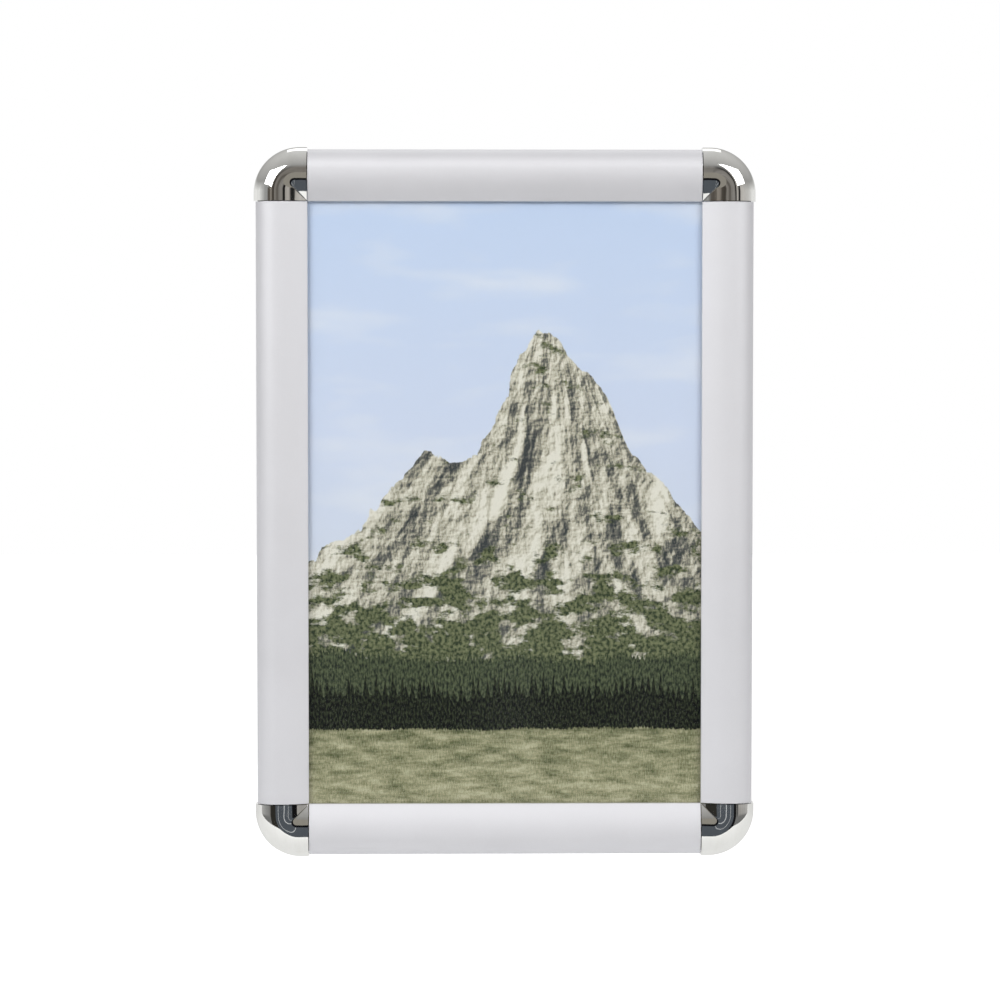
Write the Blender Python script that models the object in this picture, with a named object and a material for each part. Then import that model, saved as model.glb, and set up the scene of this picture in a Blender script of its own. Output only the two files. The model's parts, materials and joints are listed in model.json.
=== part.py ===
"""A wall poster frame of the snap kind, with its four front rails closed.

Each front rail turns on a bead along its outer edge, in the socket of a base rail that is fixed to
the wall. Closed, the rails press a clear sheet, a poster and a stiff panel onto the ledges of the
base rails. Four rounded caps hide the corners and stay where they are when a rail opens.

The frame stands in the XZ plane and faces -Y. The origin is the middle of the plane on the wall.
An inset is measured inwards from the outer edges of the rails, and a depth forwards from the wall.
All lengths are in metres and all angles in degrees.
"""

import math

import bmesh
import bpy

# Whole frame, over the rails
FRAME_WIDTH = 0.2400
FRAME_HEIGHT = 0.3410
RAIL_WIDTH = 0.0250
RAIL_DEPTH = 0.0120

# Clearances
SEAT_GAP = 0.0003
CUT_OVERRUN = 0.0010
MERGE_DISTANCE = 0.00001

# Front rail: an arched skin, steep at the outer side and sloping gently to its inner edge
SKIN_WALL = 0.0010
CREST_INSET = 0.0095
SHOULDER_RISE = 0.0022
INNER_EDGE_DEPTH = 0.0085
LIP_WALL = 0.0012
SPRING_RIB_WALL = 0.0010
SPRING_RIB_END_DEPTH = 0.0050

# Hinge along the outer edge: a bead on the front rail in a socket on the base rail
BEAD_RADIUS = 0.0012
BEAD_CLEARANCE = 0.00015
SOCKET_WALL = 0.00075
SOCKET_STANDOFF = 0.0007
SOCKET_SKIN_CLEARANCE = 0.00034
SOCKET_TOP_ANGLE = 100
SOCKET_LOW_ANGLE = 245
NECK_ANGLES = (105, 145)
SKIRT_ANGLE = 140
NECK_ROOT_ANGLE = 113

# Base rail
BASE_WALL = 0.0012
BASE_ENGAGEMENT = 0.0010
GUIDE_RIB_INSET = 0.0062
GUIDE_RIB_DEPTH = 0.0034
BASE_RIB_WALL = 0.0010
LEDGE_DEPTH = 0.0030
LEDGE_WALL = 0.0012
LEDGE_SETBACK = 0.0014
SPRING_LIP_REACH = 0.0011
SPRING_LIP_WALL = 0.0008
WALL_HOLE_RADIUS = 0.00225

# Sheets, from the back to the front
SHEET_INSET = 0.0150
PANEL_THICKNESS = 0.0012
POSTER_THICKNESS = 0.00025
COVER_THICKNESS = 0.0007

# Leaf springs
SPRING_LEAF = 0.0004
SPRING_LENGTH = 0.0200
SPRING_BEND_RADIUS = 0.0012
SPRING_SETBACK = 0.0005
SPRING_ARM_DEPTH = 0.0063
SPRING_TIP_RADIUS = 0.0009
SPRING_TIP_ANGLE = 120
SPRING_END_DISTANCE = 0.0450
SHORT_SIDE_SPRING_COUNT = 2
LONG_SIDE_SPRING_COUNT = 3

# Corner caps
CAP_PROUD = 0.0010
CAP_RISE = 0.0008
CAP_WALL = 0.0015
CAP_STRAIGHT = 0.0037
CAP_MITRE_LENGTH = 0.0060
CAP_JOINT_GAP = 0.0003
BOSS_RADIUS = 0.0028
BOSS_SINK = 0.0010

# Corner joiners and the screws that hold the caps to them
JOINER_BODY_INSET = 0.0035
JOINER_DEPTH = 0.0045
JOINER_REACH = 0.0440
SCREW_SEAT_WALL = 0.0004
SCREW_RADIUS = 0.00145
SCREW_TIP_DEPTH = 0.0092
SCREW_HEAD_RADIUS = 0.0022
SCREW_HEAD_THICKNESS = 0.0016
SCREW_HEAD_RECESS = 0.0004
DRIVE_LENGTH = 0.0026
DRIVE_WIDTH = 0.0006
DRIVE_DEPTH = 0.0009

# How finely the round shapes are drawn, in straight pieces
ARCH_STEPS = 10
SLOPE_STEPS = 6
BEAD_STEPS = 18
SOCKET_STEPS = 14
BEND_STEPS = 5
CORNER_STEPS = 10
ROUND_STEPS = 24
SMOOTH_ANGLE = 32

# Sizes that follow from the ones above
socket_radius = BEAD_RADIUS + BEAD_CLEARANCE
socket_outside = socket_radius + SOCKET_WALL
pivot_inset = SKIN_WALL + SOCKET_SKIN_CLEARANCE - socket_outside * math.cos(math.radians(SOCKET_TOP_ANGLE))
pivot_depth = SOCKET_STANDOFF + socket_outside
shoulder_depth = pivot_depth + SHOULDER_RISE
panel_back = LEDGE_DEPTH + SEAT_GAP
panel_front = panel_back + PANEL_THICKNESS
poster_back = panel_front + SEAT_GAP
poster_front = poster_back + POSTER_THICKNESS
cover_back = poster_front + SEAT_GAP
cover_front = cover_back + COVER_THICKNESS
lip_end_depth = cover_front + SEAT_GAP
stop_rib_inner = SHEET_INSET - SEAT_GAP
stop_rib_outer = stop_rib_inner - BASE_RIB_WALL
guide_rib_inner = GUIDE_RIB_INSET + BASE_RIB_WALL
spring_arm_outer = guide_rib_inner + SPRING_SETBACK
spring_rib_inner = spring_arm_outer - SEAT_GAP
spring_rib_outer = spring_rib_inner - SPRING_RIB_WALL
spring_lip_edge = stop_rib_outer - SPRING_LIP_REACH
spring_foot_back = BASE_WALL + SEAT_GAP
spring_lip_back = spring_foot_back + SPRING_LEAF + SEAT_GAP
ledge_end = RAIL_WIDTH - LEDGE_SETBACK
base_end = RAIL_WIDTH - BASE_ENGAGEMENT
cap_radius = RAIL_WIDTH + CAP_PROUD - CAP_STRAIGHT
mitre_inset = RAIL_WIDTH - CAP_MITRE_LENGTH
cap_end = RAIL_WIDTH - CAP_JOINT_GAP / 2
snap_end = RAIL_WIDTH + CAP_JOINT_GAP / 2
joiner_body_end = base_end - SEAT_GAP
joiner_body_inner = stop_rib_inner - SEAT_GAP
head_seat_radius = SCREW_HEAD_RADIUS + SEAT_GAP
screw_inset = joiner_body_inner - SCREW_SEAT_WALL - head_seat_radius
screw_hole_radius = SCREW_RADIUS + SEAT_GAP
head_seat_depth = SCREW_HEAD_RECESS + SCREW_HEAD_THICKNESS + SEAT_GAP

# Each side and corner is modelled once, as the bottom side and the bottom left corner, and turned
# about Y in quarter turns. A side also has its length, its springs and whether it has wall holes
SIDES = {
    "bottom": (0, (0, 0, -FRAME_HEIGHT / 2), FRAME_WIDTH, SHORT_SIDE_SPRING_COUNT, False),
    "left": (1, (-FRAME_WIDTH / 2, 0, 0), FRAME_HEIGHT, LONG_SIDE_SPRING_COUNT, True),
    "top": (2, (0, 0, FRAME_HEIGHT / 2), FRAME_WIDTH, SHORT_SIDE_SPRING_COUNT, False),
    "right": (3, (FRAME_WIDTH / 2, 0, 0), FRAME_HEIGHT, LONG_SIDE_SPRING_COUNT, True),
}
CORNERS = {
    "bottom_left": (0, (-FRAME_WIDTH / 2, 0, -FRAME_HEIGHT / 2)),
    "top_left": (1, (-FRAME_WIDTH / 2, 0, FRAME_HEIGHT / 2)),
    "top_right": (2, (FRAME_WIDTH / 2, 0, FRAME_HEIGHT / 2)),
    "bottom_right": (3, (FRAME_WIDTH / 2, 0, -FRAME_HEIGHT / 2)),
}


def clear_scene():
    for thing in list(bpy.data.objects):
        bpy.data.objects.remove(thing)


def make_material(name, colour, metallic, roughness, alpha=1.0):
    material = bpy.data.materials.new(name)
    material.use_nodes = True
    shader = material.node_tree.nodes["Principled BSDF"]
    shader.inputs["Base Color"].default_value = (*colour, 1.0)
    shader.inputs["Metallic"].default_value = metallic
    shader.inputs["Roughness"].default_value = roughness
    shader.inputs["Alpha"].default_value = alpha
    return material


def arc(centre, radius, start, end, steps):
    """Points on an arc about an (inset, depth) centre. Angles run from the inset axis to the depth axis."""
    points = []
    for step in range(steps + 1):
        turn = math.radians(start + (end - start) * step / steps)
        points.append((centre[0] + radius * math.cos(turn), centre[1] + radius * math.sin(turn)))
    return points


def arch_depth(inset, proud, rise):
    """Depth at an inset of the arched front, moved outwards by proud and forwards by rise."""
    crest = RAIL_DEPTH + rise
    if inset < CREST_INSET:
        share = min(1, (CREST_INSET - inset) / (CREST_INSET + proud))
        return shoulder_depth + (crest - shoulder_depth) * math.sqrt(1 - share**2)
    share = (inset - CREST_INSET) / (RAIL_WIDTH - CREST_INSET)
    return crest - (RAIL_DEPTH - INNER_EDGE_DEPTH) * share**2


def arch(proud, rise, reach):
    """The arched front as points from its outer shoulder over the crest to the inset named reach."""
    insets = []
    for step in range(ARCH_STEPS + 1):
        turn = math.pi / 2 * step / ARCH_STEPS
        insets.append(CREST_INSET - (CREST_INSET + proud) * math.cos(turn))
    for step in range(1, SLOPE_STEPS + 1):
        insets.append(CREST_INSET + (reach - CREST_INSET) * step / SLOPE_STEPS)
    return [(inset, arch_depth(inset, proud, rise)) for inset in insets]


def snap_rail_outline():
    """Section of a front rail: skin, inner lip, spring rib, and the bead on its neck."""
    skirt_depth = pivot_depth + pivot_inset * math.tan(math.radians(180 - SKIRT_ANGLE))
    neck_root = pivot_depth + (pivot_inset - SKIN_WALL) * math.tan(math.radians(180 - NECK_ROOT_ANGLE))
    front = arch(0, 0, RAIL_WIDTH)
    back = arch(-SKIN_WALL, -SKIN_WALL, RAIL_WIDTH - LIP_WALL)
    rib = [
        (spring_rib_inner, arch_depth(spring_rib_inner, -SKIN_WALL, -SKIN_WALL)),
        (spring_rib_inner, SPRING_RIB_END_DEPTH),
        (spring_rib_outer, SPRING_RIB_END_DEPTH),
        (spring_rib_outer, arch_depth(spring_rib_outer, -SKIN_WALL, -SKIN_WALL)),
    ]
    lip = [(RAIL_WIDTH, lip_end_depth), (RAIL_WIDTH - LIP_WALL, lip_end_depth)]
    inner_back = [point for point in reversed(back) if point[0] > spring_rib_inner]
    outer_back = [point for point in reversed(back) if point[0] < spring_rib_outer]
    bead = arc((pivot_inset, pivot_depth), BEAD_RADIUS, NECK_ANGLES[0], NECK_ANGLES[1] - 360, BEAD_STEPS)
    neck = [(SKIN_WALL, neck_root), *bead, (0, skirt_depth)]
    return front + lip + inner_back + rib + outer_back + neck


def base_rail_outline():
    """Section of a base rail: socket, wall plate with its channel, stop rib and ledge."""
    pivot = (pivot_inset, pivot_depth)
    inside = arc(pivot, socket_radius, SOCKET_LOW_ANGLE - 360, SOCKET_TOP_ANGLE, SOCKET_STEPS)
    meets_plate = math.degrees(math.asin((BASE_WALL - pivot_depth) / socket_outside))
    outside = arc(pivot, socket_outside, SOCKET_TOP_ANGLE, meets_plate, SOCKET_STEPS)
    low_lip = arc(pivot, socket_outside, SOCKET_LOW_ANGLE, SOCKET_TOP_ANGLE, 1)[0]
    guide_rib = [
        (GUIDE_RIB_INSET, BASE_WALL),
        (GUIDE_RIB_INSET, GUIDE_RIB_DEPTH),
        (guide_rib_inner, GUIDE_RIB_DEPTH),
        (guide_rib_inner, BASE_WALL),
    ]
    spring_lip = [
        (stop_rib_outer, BASE_WALL),
        (stop_rib_outer, spring_lip_back),
        (spring_lip_edge, spring_lip_back),
        (spring_lip_edge, spring_lip_back + SPRING_LIP_WALL),
        (stop_rib_outer, spring_lip_back + SPRING_LIP_WALL),
    ]
    stop_rib = [(stop_rib_outer, cover_front), (stop_rib_inner, cover_front)]
    ledge = [
        (stop_rib_inner, LEDGE_DEPTH),
        (ledge_end, LEDGE_DEPTH),
        (ledge_end, LEDGE_DEPTH - LEDGE_WALL),
        (stop_rib_inner, LEDGE_DEPTH - LEDGE_WALL),
    ]
    foot = [(stop_rib_inner, 0), (low_lip[0], 0), low_lip]
    return inside + outside + guide_rib + spring_lip + stop_rib + ledge + foot


def leaf_spring_outline():
    """Section of a leaf spring: a flat foot under the lip, a bend, an arm up the rib and a curled tip."""
    half = SPRING_LEAF / 2
    arm_inset = spring_arm_outer + half
    foot_depth = spring_foot_back + half
    foot_end = stop_rib_outer - SEAT_GAP
    bend = (arm_inset + SPRING_BEND_RADIUS, foot_depth + SPRING_BEND_RADIUS)
    curl = (arm_inset + SPRING_TIP_RADIUS, SPRING_ARM_DEPTH)
    tip = 180 - SPRING_TIP_ANGLE
    outer_side = [(foot_end, foot_depth - half)]
    outer_side += arc(bend, SPRING_BEND_RADIUS + half, 270, 180, BEND_STEPS)
    outer_side += arc(curl, SPRING_TIP_RADIUS + half, 180, tip, BEND_STEPS)
    inner_side = arc(curl, SPRING_TIP_RADIUS - half, tip, 180, BEND_STEPS)
    inner_side += arc(bend, SPRING_BEND_RADIUS - half, 180, 270, BEND_STEPS)
    inner_side += [(foot_end, foot_depth + half)]
    return outer_side + inner_side


def corner_radius(inset):
    """Radius of a cap's round corner at an inset. It shrinks to nothing where the mitre starts."""
    return cap_radius * max(0, mitre_inset - inset) / (mitre_inset + CAP_PROUD)


def corner_plan(outer_inset, inner_inset, end):
    """Plan of an elbow: a round outer corner that follows the cap's, and a square inner one."""
    radius = corner_radius(outer_inset)
    centre = outer_inset + radius
    outer = arc((centre, centre), radius, 180, 270, CORNER_STEPS)
    return outer + [(end, outer_inset), (end, inner_inset), (inner_inset, inner_inset),
                    (inner_inset, end), (outer_inset, end)]


def rectangle(low, high, low_other, high_other):
    return [(low, low_other), (high, low_other), (high, high_other), (low, high_other)]


def prism(points, travel):
    """A closed solid: the face through the points, swept along travel."""
    shape = bmesh.new()
    face = shape.faces.new([shape.verts.new(point) for point in points])
    swept = bmesh.ops.extrude_face_region(shape, geom=[face])
    moved = [part for part in swept["geom"] if isinstance(part, bmesh.types.BMVert)]
    bmesh.ops.translate(shape, verts=moved, vec=travel)
    return closed_mesh(shape)


def closed_mesh(shape):
    bmesh.ops.recalc_face_normals(shape, faces=shape.faces)
    mesh = bpy.data.meshes.new("shape")
    shape.to_mesh(mesh)
    shape.free()
    return mesh


def along_rail(outline, start, end, origin=(0, 0)):
    """An (inset, depth) outline swept along a rail, with the mesh's own origin at an (inset, depth)."""
    points = [(start, origin[1] - depth, inset - origin[0]) for inset, depth in outline]
    return prism(points, (end - start, 0, 0))


def off_wall(outline, back, front):
    """A plan outline in two insets, swept from one depth to another."""
    points = [(along, -back, inset) for along, inset in outline]
    return prism(points, (0, back - front, 0))


def round_bar(inset, other_inset, radius, back, front):
    return off_wall(arc((inset, other_inset), radius, 0, 360, ROUND_STEPS)[1:], back, front)


def combined(mesh, added=(), removed=()):
    """The mesh with some solids joined to it and others cut from it."""
    body = bpy.data.objects.new("body", mesh)
    bpy.context.scene.collection.objects.link(body)
    tools = []
    for operation, others in (("UNION", added), ("DIFFERENCE", removed)):
        for other in others:
            tool = bpy.data.objects.new("tool", other)
            tool.hide_render = True
            tool.display_type = "WIRE"
            bpy.context.scene.collection.objects.link(tool)
            step = body.modifiers.new(operation.lower(), "BOOLEAN")
            step.operation = operation
            step.object = tool
            tools.append(tool)
    bpy.context.view_layer.update()
    evaluated = body.evaluated_get(bpy.context.evaluated_depsgraph_get())
    result = bpy.data.meshes.new_from_object(evaluated)
    for helper in (body, *tools):
        bpy.data.objects.remove(helper)
    return result


def cap_mesh():
    """A corner cap: its wall section carried round the corner, with a screw boss inside.

    The corner is round outside, and its radius shrinks inwards until the two arms meet in a mitre
    that runs to the inner corner of the frame.
    """
    front = arch(CAP_PROUD, CAP_RISE, cap_end)
    back = arch(CAP_PROUD - CAP_WALL, CAP_RISE - CAP_WALL, cap_end - LIP_WALL)
    rim = [(CAP_WALL - CAP_PROUD, 0), (-CAP_PROUD, 0)]
    lip = [(cap_end, lip_end_depth), (cap_end - LIP_WALL, lip_end_depth)]
    section = front + lip + back[::-1] + rim
    shape = bmesh.new()
    columns = []
    for step in range(-1, CORNER_STEPS + 2):
        column = []
        turn = math.pi / 2 * min(max(step, 0), CORNER_STEPS) / CORNER_STEPS
        for inset, depth in section:
            radius = corner_radius(inset)
            x = inset + radius - radius * math.sin(turn)
            z = inset + radius - radius * math.cos(turn)
            if step < 0:
                x = cap_end
            if step > CORNER_STEPS:
                z = cap_end
            column.append(shape.verts.new((x, -depth, z)))
        columns.append(column)
    for column, after in zip(columns, columns[1:]):
        for index in range(len(section)):
            following = (index + 1) % len(section)
            shape.faces.new((column[index], after[index], after[following], column[following]))
    shape.faces.new(columns[0])
    shape.faces.new(columns[-1][::-1])
    bmesh.ops.remove_doubles(shape, verts=shape.verts, dist=MERGE_DISTANCE)
    boss_back = JOINER_DEPTH + SEAT_GAP
    boss = round_bar(screw_inset, screw_inset, BOSS_RADIUS, boss_back, RAIL_DEPTH + CAP_RISE - BOSS_SINK)
    hole_back = boss_back - CUT_OVERRUN
    hole = round_bar(screw_inset, screw_inset, screw_hole_radius, hole_back, SCREW_TIP_DEPTH + SEAT_GAP)
    return combined(closed_mesh(shape), added=[boss], removed=[hole])


def joiner_mesh():
    """A corner joiner: an elbow block, a leg in each base rail's channel, and a pad under the sheets."""
    body = off_wall(corner_plan(JOINER_BODY_INSET, joiner_body_inner, joiner_body_end), 0, JOINER_DEPTH)
    leg_sides = (guide_rib_inner + SEAT_GAP, spring_lip_edge - SEAT_GAP)
    root = joiner_body_end - CUT_OVERRUN
    legs = [
        off_wall(rectangle(root, JOINER_REACH, *leg_sides), spring_foot_back, JOINER_DEPTH),
        off_wall(rectangle(*leg_sides, root, JOINER_REACH), spring_foot_back, JOINER_DEPTH),
    ]
    pad_start = joiner_body_inner - CUT_OVERRUN
    pad_plan = rectangle(pad_start, joiner_body_end, pad_start, joiner_body_end)
    pad = off_wall(pad_plan, LEDGE_DEPTH - LEDGE_WALL, LEDGE_DEPTH)
    bore = round_bar(screw_inset, screw_inset, screw_hole_radius, 0, JOINER_DEPTH + CUT_OVERRUN)
    head_seat = round_bar(screw_inset, screw_inset, head_seat_radius, -CUT_OVERRUN, head_seat_depth)
    return combined(body, added=[*legs, pad], removed=[bore, head_seat])


def screw_mesh():
    """A cap screw, head towards the wall, with a cross recess."""
    head_front = SCREW_HEAD_RECESS + SCREW_HEAD_THICKNESS
    head = round_bar(0, 0, SCREW_HEAD_RADIUS, SCREW_HEAD_RECESS, head_front)
    shank = round_bar(0, 0, SCREW_RADIUS, SCREW_HEAD_RECESS + DRIVE_DEPTH, SCREW_TIP_DEPTH)
    slot_back = SCREW_HEAD_RECESS - CUT_OVERRUN
    slot_front = SCREW_HEAD_RECESS + DRIVE_DEPTH
    long_half = DRIVE_LENGTH / 2
    wide_half = DRIVE_WIDTH / 2
    slots = [
        off_wall(rectangle(-long_half, long_half, -wide_half, wide_half), slot_back, slot_front),
        off_wall(rectangle(-wide_half, wide_half, -long_half, long_half), slot_back, slot_front),
    ]
    return combined(head, added=[shank], removed=slots)


def sheet_mesh(back, front):
    half_width = FRAME_WIDTH / 2 - SHEET_INSET
    half_height = FRAME_HEIGHT / 2 - SHEET_INSET
    return off_wall(rectangle(-half_width, half_width, -half_height, half_height), back, front)


def even_places(length, count):
    """The middles of evenly spaced pieces along a side, the first and last a set way from its ends."""
    half = length / 2 - RAIL_WIDTH - SPRING_END_DISTANCE
    return [-half + 2 * half * place / (count - 1) for place in range(count)]


def base_rail_mesh(length, hole_places):
    half = length / 2 - base_end
    rail = along_rail(base_rail_outline(), -half, half)
    hole_inset = (guide_rib_inner + spring_lip_edge) / 2
    holes = [
        round_bar(place, hole_inset, WALL_HOLE_RADIUS, -CUT_OVERRUN, BASE_WALL + CUT_OVERRUN)
        for place in hole_places
    ]
    return combined(rail, removed=holes)


def snap_rail_mesh(length):
    half = length / 2 - snap_end
    return along_rail(snap_rail_outline(), -half, half, (pivot_inset, pivot_depth))


def place(name, mesh, material, parent=None, location=(0, 0, 0)):
    """A named object of the frame, on its side's or corner's empty."""
    mesh.materials.clear()
    mesh.materials.append(material)
    mesh.shade_smooth()
    mesh.set_sharp_from_angle(angle=math.radians(SMOOTH_ANGLE))
    piece = bpy.data.objects.new(name, mesh)
    piece.parent = parent
    piece.location = location
    bpy.context.scene.collection.objects.link(piece)
    return piece


def make_empty(name, quarter_turns, location):
    empty = bpy.data.objects.new(name, None)
    empty.location = location
    empty.rotation_euler = (0, math.pi / 2 * quarter_turns, 0)
    bpy.context.scene.collection.objects.link(empty)
    return empty


def build_sides(aluminium, spring_steel):
    spring = along_rail(leaf_spring_outline(), -SPRING_LENGTH / 2, SPRING_LENGTH / 2)
    for side, (quarter_turns, location, length, spring_count, has_holes) in SIDES.items():
        axis = make_empty(side + "_side", quarter_turns, location)
        springs = even_places(length, spring_count)
        between = [(first + second) / 2 for first, second in zip(springs, springs[1:])]
        holes = between if has_holes else []
        place("base_rail_" + side, base_rail_mesh(length, holes), aluminium, axis)
        place("snap_rail_" + side, snap_rail_mesh(length), aluminium, axis, (0, -pivot_depth, pivot_inset))
        for number, middle in enumerate(springs, 1):
            place(f"leaf_spring_{side}_{number}", spring, spring_steel, axis, (middle, 0, 0))


def build_corners(chrome, black_plastic, zinc_steel):
    cap = cap_mesh()
    joiner = joiner_mesh()
    screw = screw_mesh()
    for corner, (quarter_turns, location) in CORNERS.items():
        axis = make_empty(corner + "_corner", quarter_turns, location)
        place("corner_cap_" + corner, cap, chrome, axis)
        place("corner_joiner_" + corner, joiner, black_plastic, axis)
        place("cap_screw_" + corner, screw, zinc_steel, axis, (screw_inset, 0, screw_inset))


def build_sheets(panel_plastic, paper, clear_plastic):
    place("backing_panel", sheet_mesh(panel_back, panel_front), panel_plastic)
    place("poster_sheet", sheet_mesh(poster_back, poster_front), paper)
    place("clear_cover_sheet", sheet_mesh(cover_back, cover_front), clear_plastic)


clear_scene()
build_sides(
    make_material("satin_aluminium", (0.78, 0.78, 0.79), 0.9, 0.45),
    make_material("spring_steel", (0.42, 0.43, 0.45), 1.0, 0.3),
)
build_corners(
    make_material("chrome", (0.75, 0.75, 0.73), 1.0, 0.06),
    make_material("black_plastic", (0.03, 0.03, 0.03), 0.0, 0.5),
    make_material("zinc_steel", (0.6, 0.6, 0.58), 1.0, 0.35),
)
build_sheets(
    make_material("panel_plastic", (0.7, 0.7, 0.68), 0.0, 0.6),
    make_material("printed_paper", (0.55, 0.6, 0.62), 0.0, 0.7),
    make_material("clear_plastic", (0.95, 0.97, 1.0), 0.0, 0.15, 0.15),
)
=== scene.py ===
"""Looks of a snap-open wall poster frame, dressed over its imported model.

The frame hangs in the XZ plane and faces -Y. An inset is measured inwards from the rails' outer
edges, and a depth forwards from the wall. Lengths are in metres and angles in degrees.
"""

import json
import math

import bmesh
import bpy
from mathutils import Matrix, Vector


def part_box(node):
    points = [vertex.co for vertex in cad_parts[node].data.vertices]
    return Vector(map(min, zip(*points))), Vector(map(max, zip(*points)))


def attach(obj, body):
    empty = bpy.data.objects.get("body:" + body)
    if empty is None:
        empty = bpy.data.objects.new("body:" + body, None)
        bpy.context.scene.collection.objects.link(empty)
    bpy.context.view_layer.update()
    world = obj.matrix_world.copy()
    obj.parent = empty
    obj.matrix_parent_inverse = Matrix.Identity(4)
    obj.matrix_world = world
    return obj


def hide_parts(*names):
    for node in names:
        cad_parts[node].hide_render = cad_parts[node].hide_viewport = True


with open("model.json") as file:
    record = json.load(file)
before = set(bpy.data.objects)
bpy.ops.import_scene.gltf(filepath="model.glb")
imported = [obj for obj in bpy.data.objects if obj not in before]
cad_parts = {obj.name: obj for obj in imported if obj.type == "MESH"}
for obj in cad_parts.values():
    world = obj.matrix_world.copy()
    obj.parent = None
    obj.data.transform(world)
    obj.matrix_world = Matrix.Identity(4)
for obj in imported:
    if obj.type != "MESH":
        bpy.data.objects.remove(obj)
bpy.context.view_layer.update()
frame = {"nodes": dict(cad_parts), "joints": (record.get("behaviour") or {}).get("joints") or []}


# Base rails: four lengths of mill-finished extruded aluminium, screwed to the wall through the two
# long ones. Each has the hinge socket along its outer edge, a channel for the joiners and springs,
# and the ledge that the sheets lie on.
rail_low, rail_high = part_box("snap_rail_right")
half_width = rail_high.x
half_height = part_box("snap_rail_top")[1].z
rail_width = rail_high.x - rail_low.x
rail_depth = -rail_low.y
hinge = next(joint for joint in frame["joints"] if joint["name"] == "right_rail_hinge")
pivot_inset = half_width - hinge["pos_m"][0]
pivot_depth = -hinge["pos_m"][1]

SOCKET_BORE = 0.00135
SOCKET_OUTSIDE = 0.0021
SOCKET_MOUTH_ANGLES = (-115, 100)
BASE_WALL = 0.0012
GUIDE_RIB = (0.0062, 0.0072)
GUIDE_RIB_DEPTH = 0.0034
STOP_RIB = (0.0137, 0.0147)
SPRING_LIP_EDGE = 0.0126
SPRING_LIP_DEPTHS = (0.0022, 0.0030)
LEDGE_EDGE = 0.0236
LEDGE_DEPTHS = (0.0018, 0.0030)
BASE_RAIL_EASE = 0.00018
WALL_HOLE_RADIUS = 0.00225
WALL_HOLE_INSET = 0.0099
WALL_HOLE_SEGMENTS = 48
ARC_STEP_ANGLE = 6
EASE_FROM_ANGLE = 28
EASE_STEPS = 4
SHARP_FROM_ANGLE = 32
SEAL_DISTANCE = 0.000002
cover_front = -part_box("clear_cover_sheet")[0].y


def places_round(**spots):
    """Moves of one piece to four (x, z) spots round the frame, each a quarter turn on from the last."""
    return {
        name: Matrix.Translation((x, 0, z)) @ Matrix.Rotation(math.pi / 2 * turns, 4, "Y")
        for turns, (name, (x, z)) in enumerate(spots.items())
    }


side_places = places_round(
    bottom=(0, -half_height),
    left=(-half_width, 0),
    top=(0, half_height),
    right=(half_width, 0),
)


def arc(centre, radius, start, end):
    """Points on an arc about an (inset, depth) centre, from one angle to another."""
    steps = max(2, round(abs(end - start) / ARC_STEP_ANGLE))
    turns = [math.radians(start + (end - start) * step / steps) for step in range(steps + 1)]
    return [(centre[0] + radius * math.cos(turn), centre[1] + radius * math.sin(turn)) for turn in turns]


def eased(outline, radius):
    """A closed outline with its sharp corners rounded, as a die or a mould leaves them."""
    points = []
    for index, corner in enumerate(Vector(point) for point in outline):
        back = Vector(outline[index - 1]) - corner
        ahead = Vector(outline[(index + 1) % len(outline)]) - corner
        turn = ahead.angle(-back)
        if turn < math.radians(EASE_FROM_ANGLE):
            points.append(tuple(corner))
            continue
        reach = min(radius * math.tan(min(turn, math.pi / 2) / 2), back.length / 2, ahead.length / 2)
        start = corner + back.normalized() * reach
        end = corner + ahead.normalized() * reach
        for step in range(EASE_STEPS + 1):
            share = step / EASE_STEPS
            rest = 1 - share
            points.append(tuple(start * rest**2 + corner * 2 * share * rest + end * share**2))
    return points


def as_mesh(shape, name):
    """A finished bmesh as a plain mesh."""
    mesh = bpy.data.meshes.new(name)
    shape.to_mesh(mesh)
    shape.free()
    return mesh


def section_face(outline):
    """An (inset, depth) outline as a mesh of one face, across a piece that lies along X."""
    shape = bmesh.new()
    face = shape.faces.new([shape.verts.new((0, -depth, inset)) for inset, depth in outline])
    face.normal_update()
    if face.normal.x < 0:
        face.normal_flip()
    return as_mesh(shape, "section")


def wire(node, inputs):
    """Sets a node's inputs. Each is a value, a socket, a node for its first output, or a list of these."""
    for key, value in inputs.items():
        for source in value if isinstance(value, list) else [value]:
            if isinstance(source, bpy.types.Node):
                source = source.outputs[0]
            if isinstance(source, bpy.types.NodeSocket):
                node.id_data.links.new(source, node.inputs[key])
            else:
                node.inputs[key].default_value = source


def add_node(tree, kind, inputs=None, **settings):
    node = tree.nodes.new(kind)
    for setting, value in settings.items():
        setattr(node, setting, value)
    wire(node, inputs or {})
    return node


def maths(operation, *values, clamp=False):
    """A sum on numbers and on what nodes give, in the tree that the nodes are in."""
    tree = next(value.id_data for value in values if isinstance(value, bpy.types.bpy_struct))
    return add_node(tree, "ShaderNodeMath", dict(enumerate(values)), operation=operation, use_clamp=clamp)


def times(value, factor):
    return maths("MULTIPLY", value, factor)


def plus(*terms):
    result = terms[0]
    for term in terms[1:]:
        result = maths("ADD", result, term)
    return result


def scaled(vector, factor):
    inputs = {0: vector, "Scale": factor}
    return add_node(vector.id_data, "ShaderNodeVectorMath", inputs, operation="SCALE")


def as_vector(tree, **parts):
    return add_node(tree, "ShaderNodeCombineXYZ", parts)


def moved(geometry, **changes):
    """Geometry with a Translation, Rotation or Scale."""
    return add_node(geometry.id_data, "GeometryNodeTransform", {"Geometry": geometry, **changes})


def together(*parts):
    return add_node(parts[0].id_data, "GeometryNodeJoinGeometry", {0: list(parts)})


def copied(instance, points):
    """A copy of some geometry at each point."""
    inputs = {"Points": points, "Instance": instance}
    return add_node(instance.id_data, "GeometryNodeInstanceOnPoints", inputs)


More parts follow.
